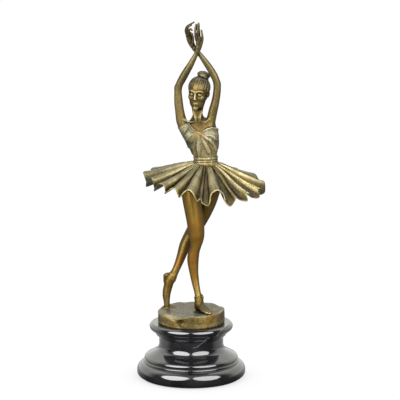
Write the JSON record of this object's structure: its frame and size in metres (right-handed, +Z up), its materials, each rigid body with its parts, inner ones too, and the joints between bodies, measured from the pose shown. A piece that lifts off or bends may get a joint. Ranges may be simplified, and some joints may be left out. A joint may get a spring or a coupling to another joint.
{
  "type": "ballerina statuette",
  "caption": "Bronze ballerina with raised arms and a pleated tutu, crossed on a round bronze plinth, on a turned and polished black marble socle.",
  "frame": {"origin": "centre of the underside of the socle, on the surface it stands on", "axes": "+Z up through the socle's axis, the figure faces -Y, and the figure's left hand side is +X"},
  "size_m": [0.1384, 0.1308, 0.3941],
  "materials": {
    "marble": "polished black with fine white veins",
    "bronze_flesh": "warm brown patina, rubbed smooth",
    "bronze_cloth": "olive gold patina, brushed on the crests and dark in the folds",
    "bronze_plinth": "uneven golden brown patina with a green-grey top",
    "steel_fixing": "zinc plated",
    "bronze_pin": "bare drawn bronze",
    "baize": "dark green felt"
  },
  "bodies": {
    "root": {"baize_pad": "baize", "marble_foot": "marble", "marble_cap": "marble", "threaded_rod": "steel_fixing", "clamp_washer": "steel_fixing", "spring_washer": "steel_fixing", "hex_nut": "steel_fixing", "bronze_plinth": "bronze_plinth", "supporting_leg": "bronze_flesh", "crossed_leg": "bronze_flesh", "foot_dowels": "bronze_pin", "hip_dowels": "bronze_pin", "pelvis": "bronze_flesh", "torso": "bronze_cloth", "waist_cross_pin": "bronze_pin", "right_arm": "bronze_flesh", "left_arm": "bronze_flesh", "head": "bronze_flesh", "shoulder_dowels": "bronze_pin", "neck_dowel": "bronze_pin", "tutu_skirt": "bronze_cloth"}
  },
  "joints": []
}
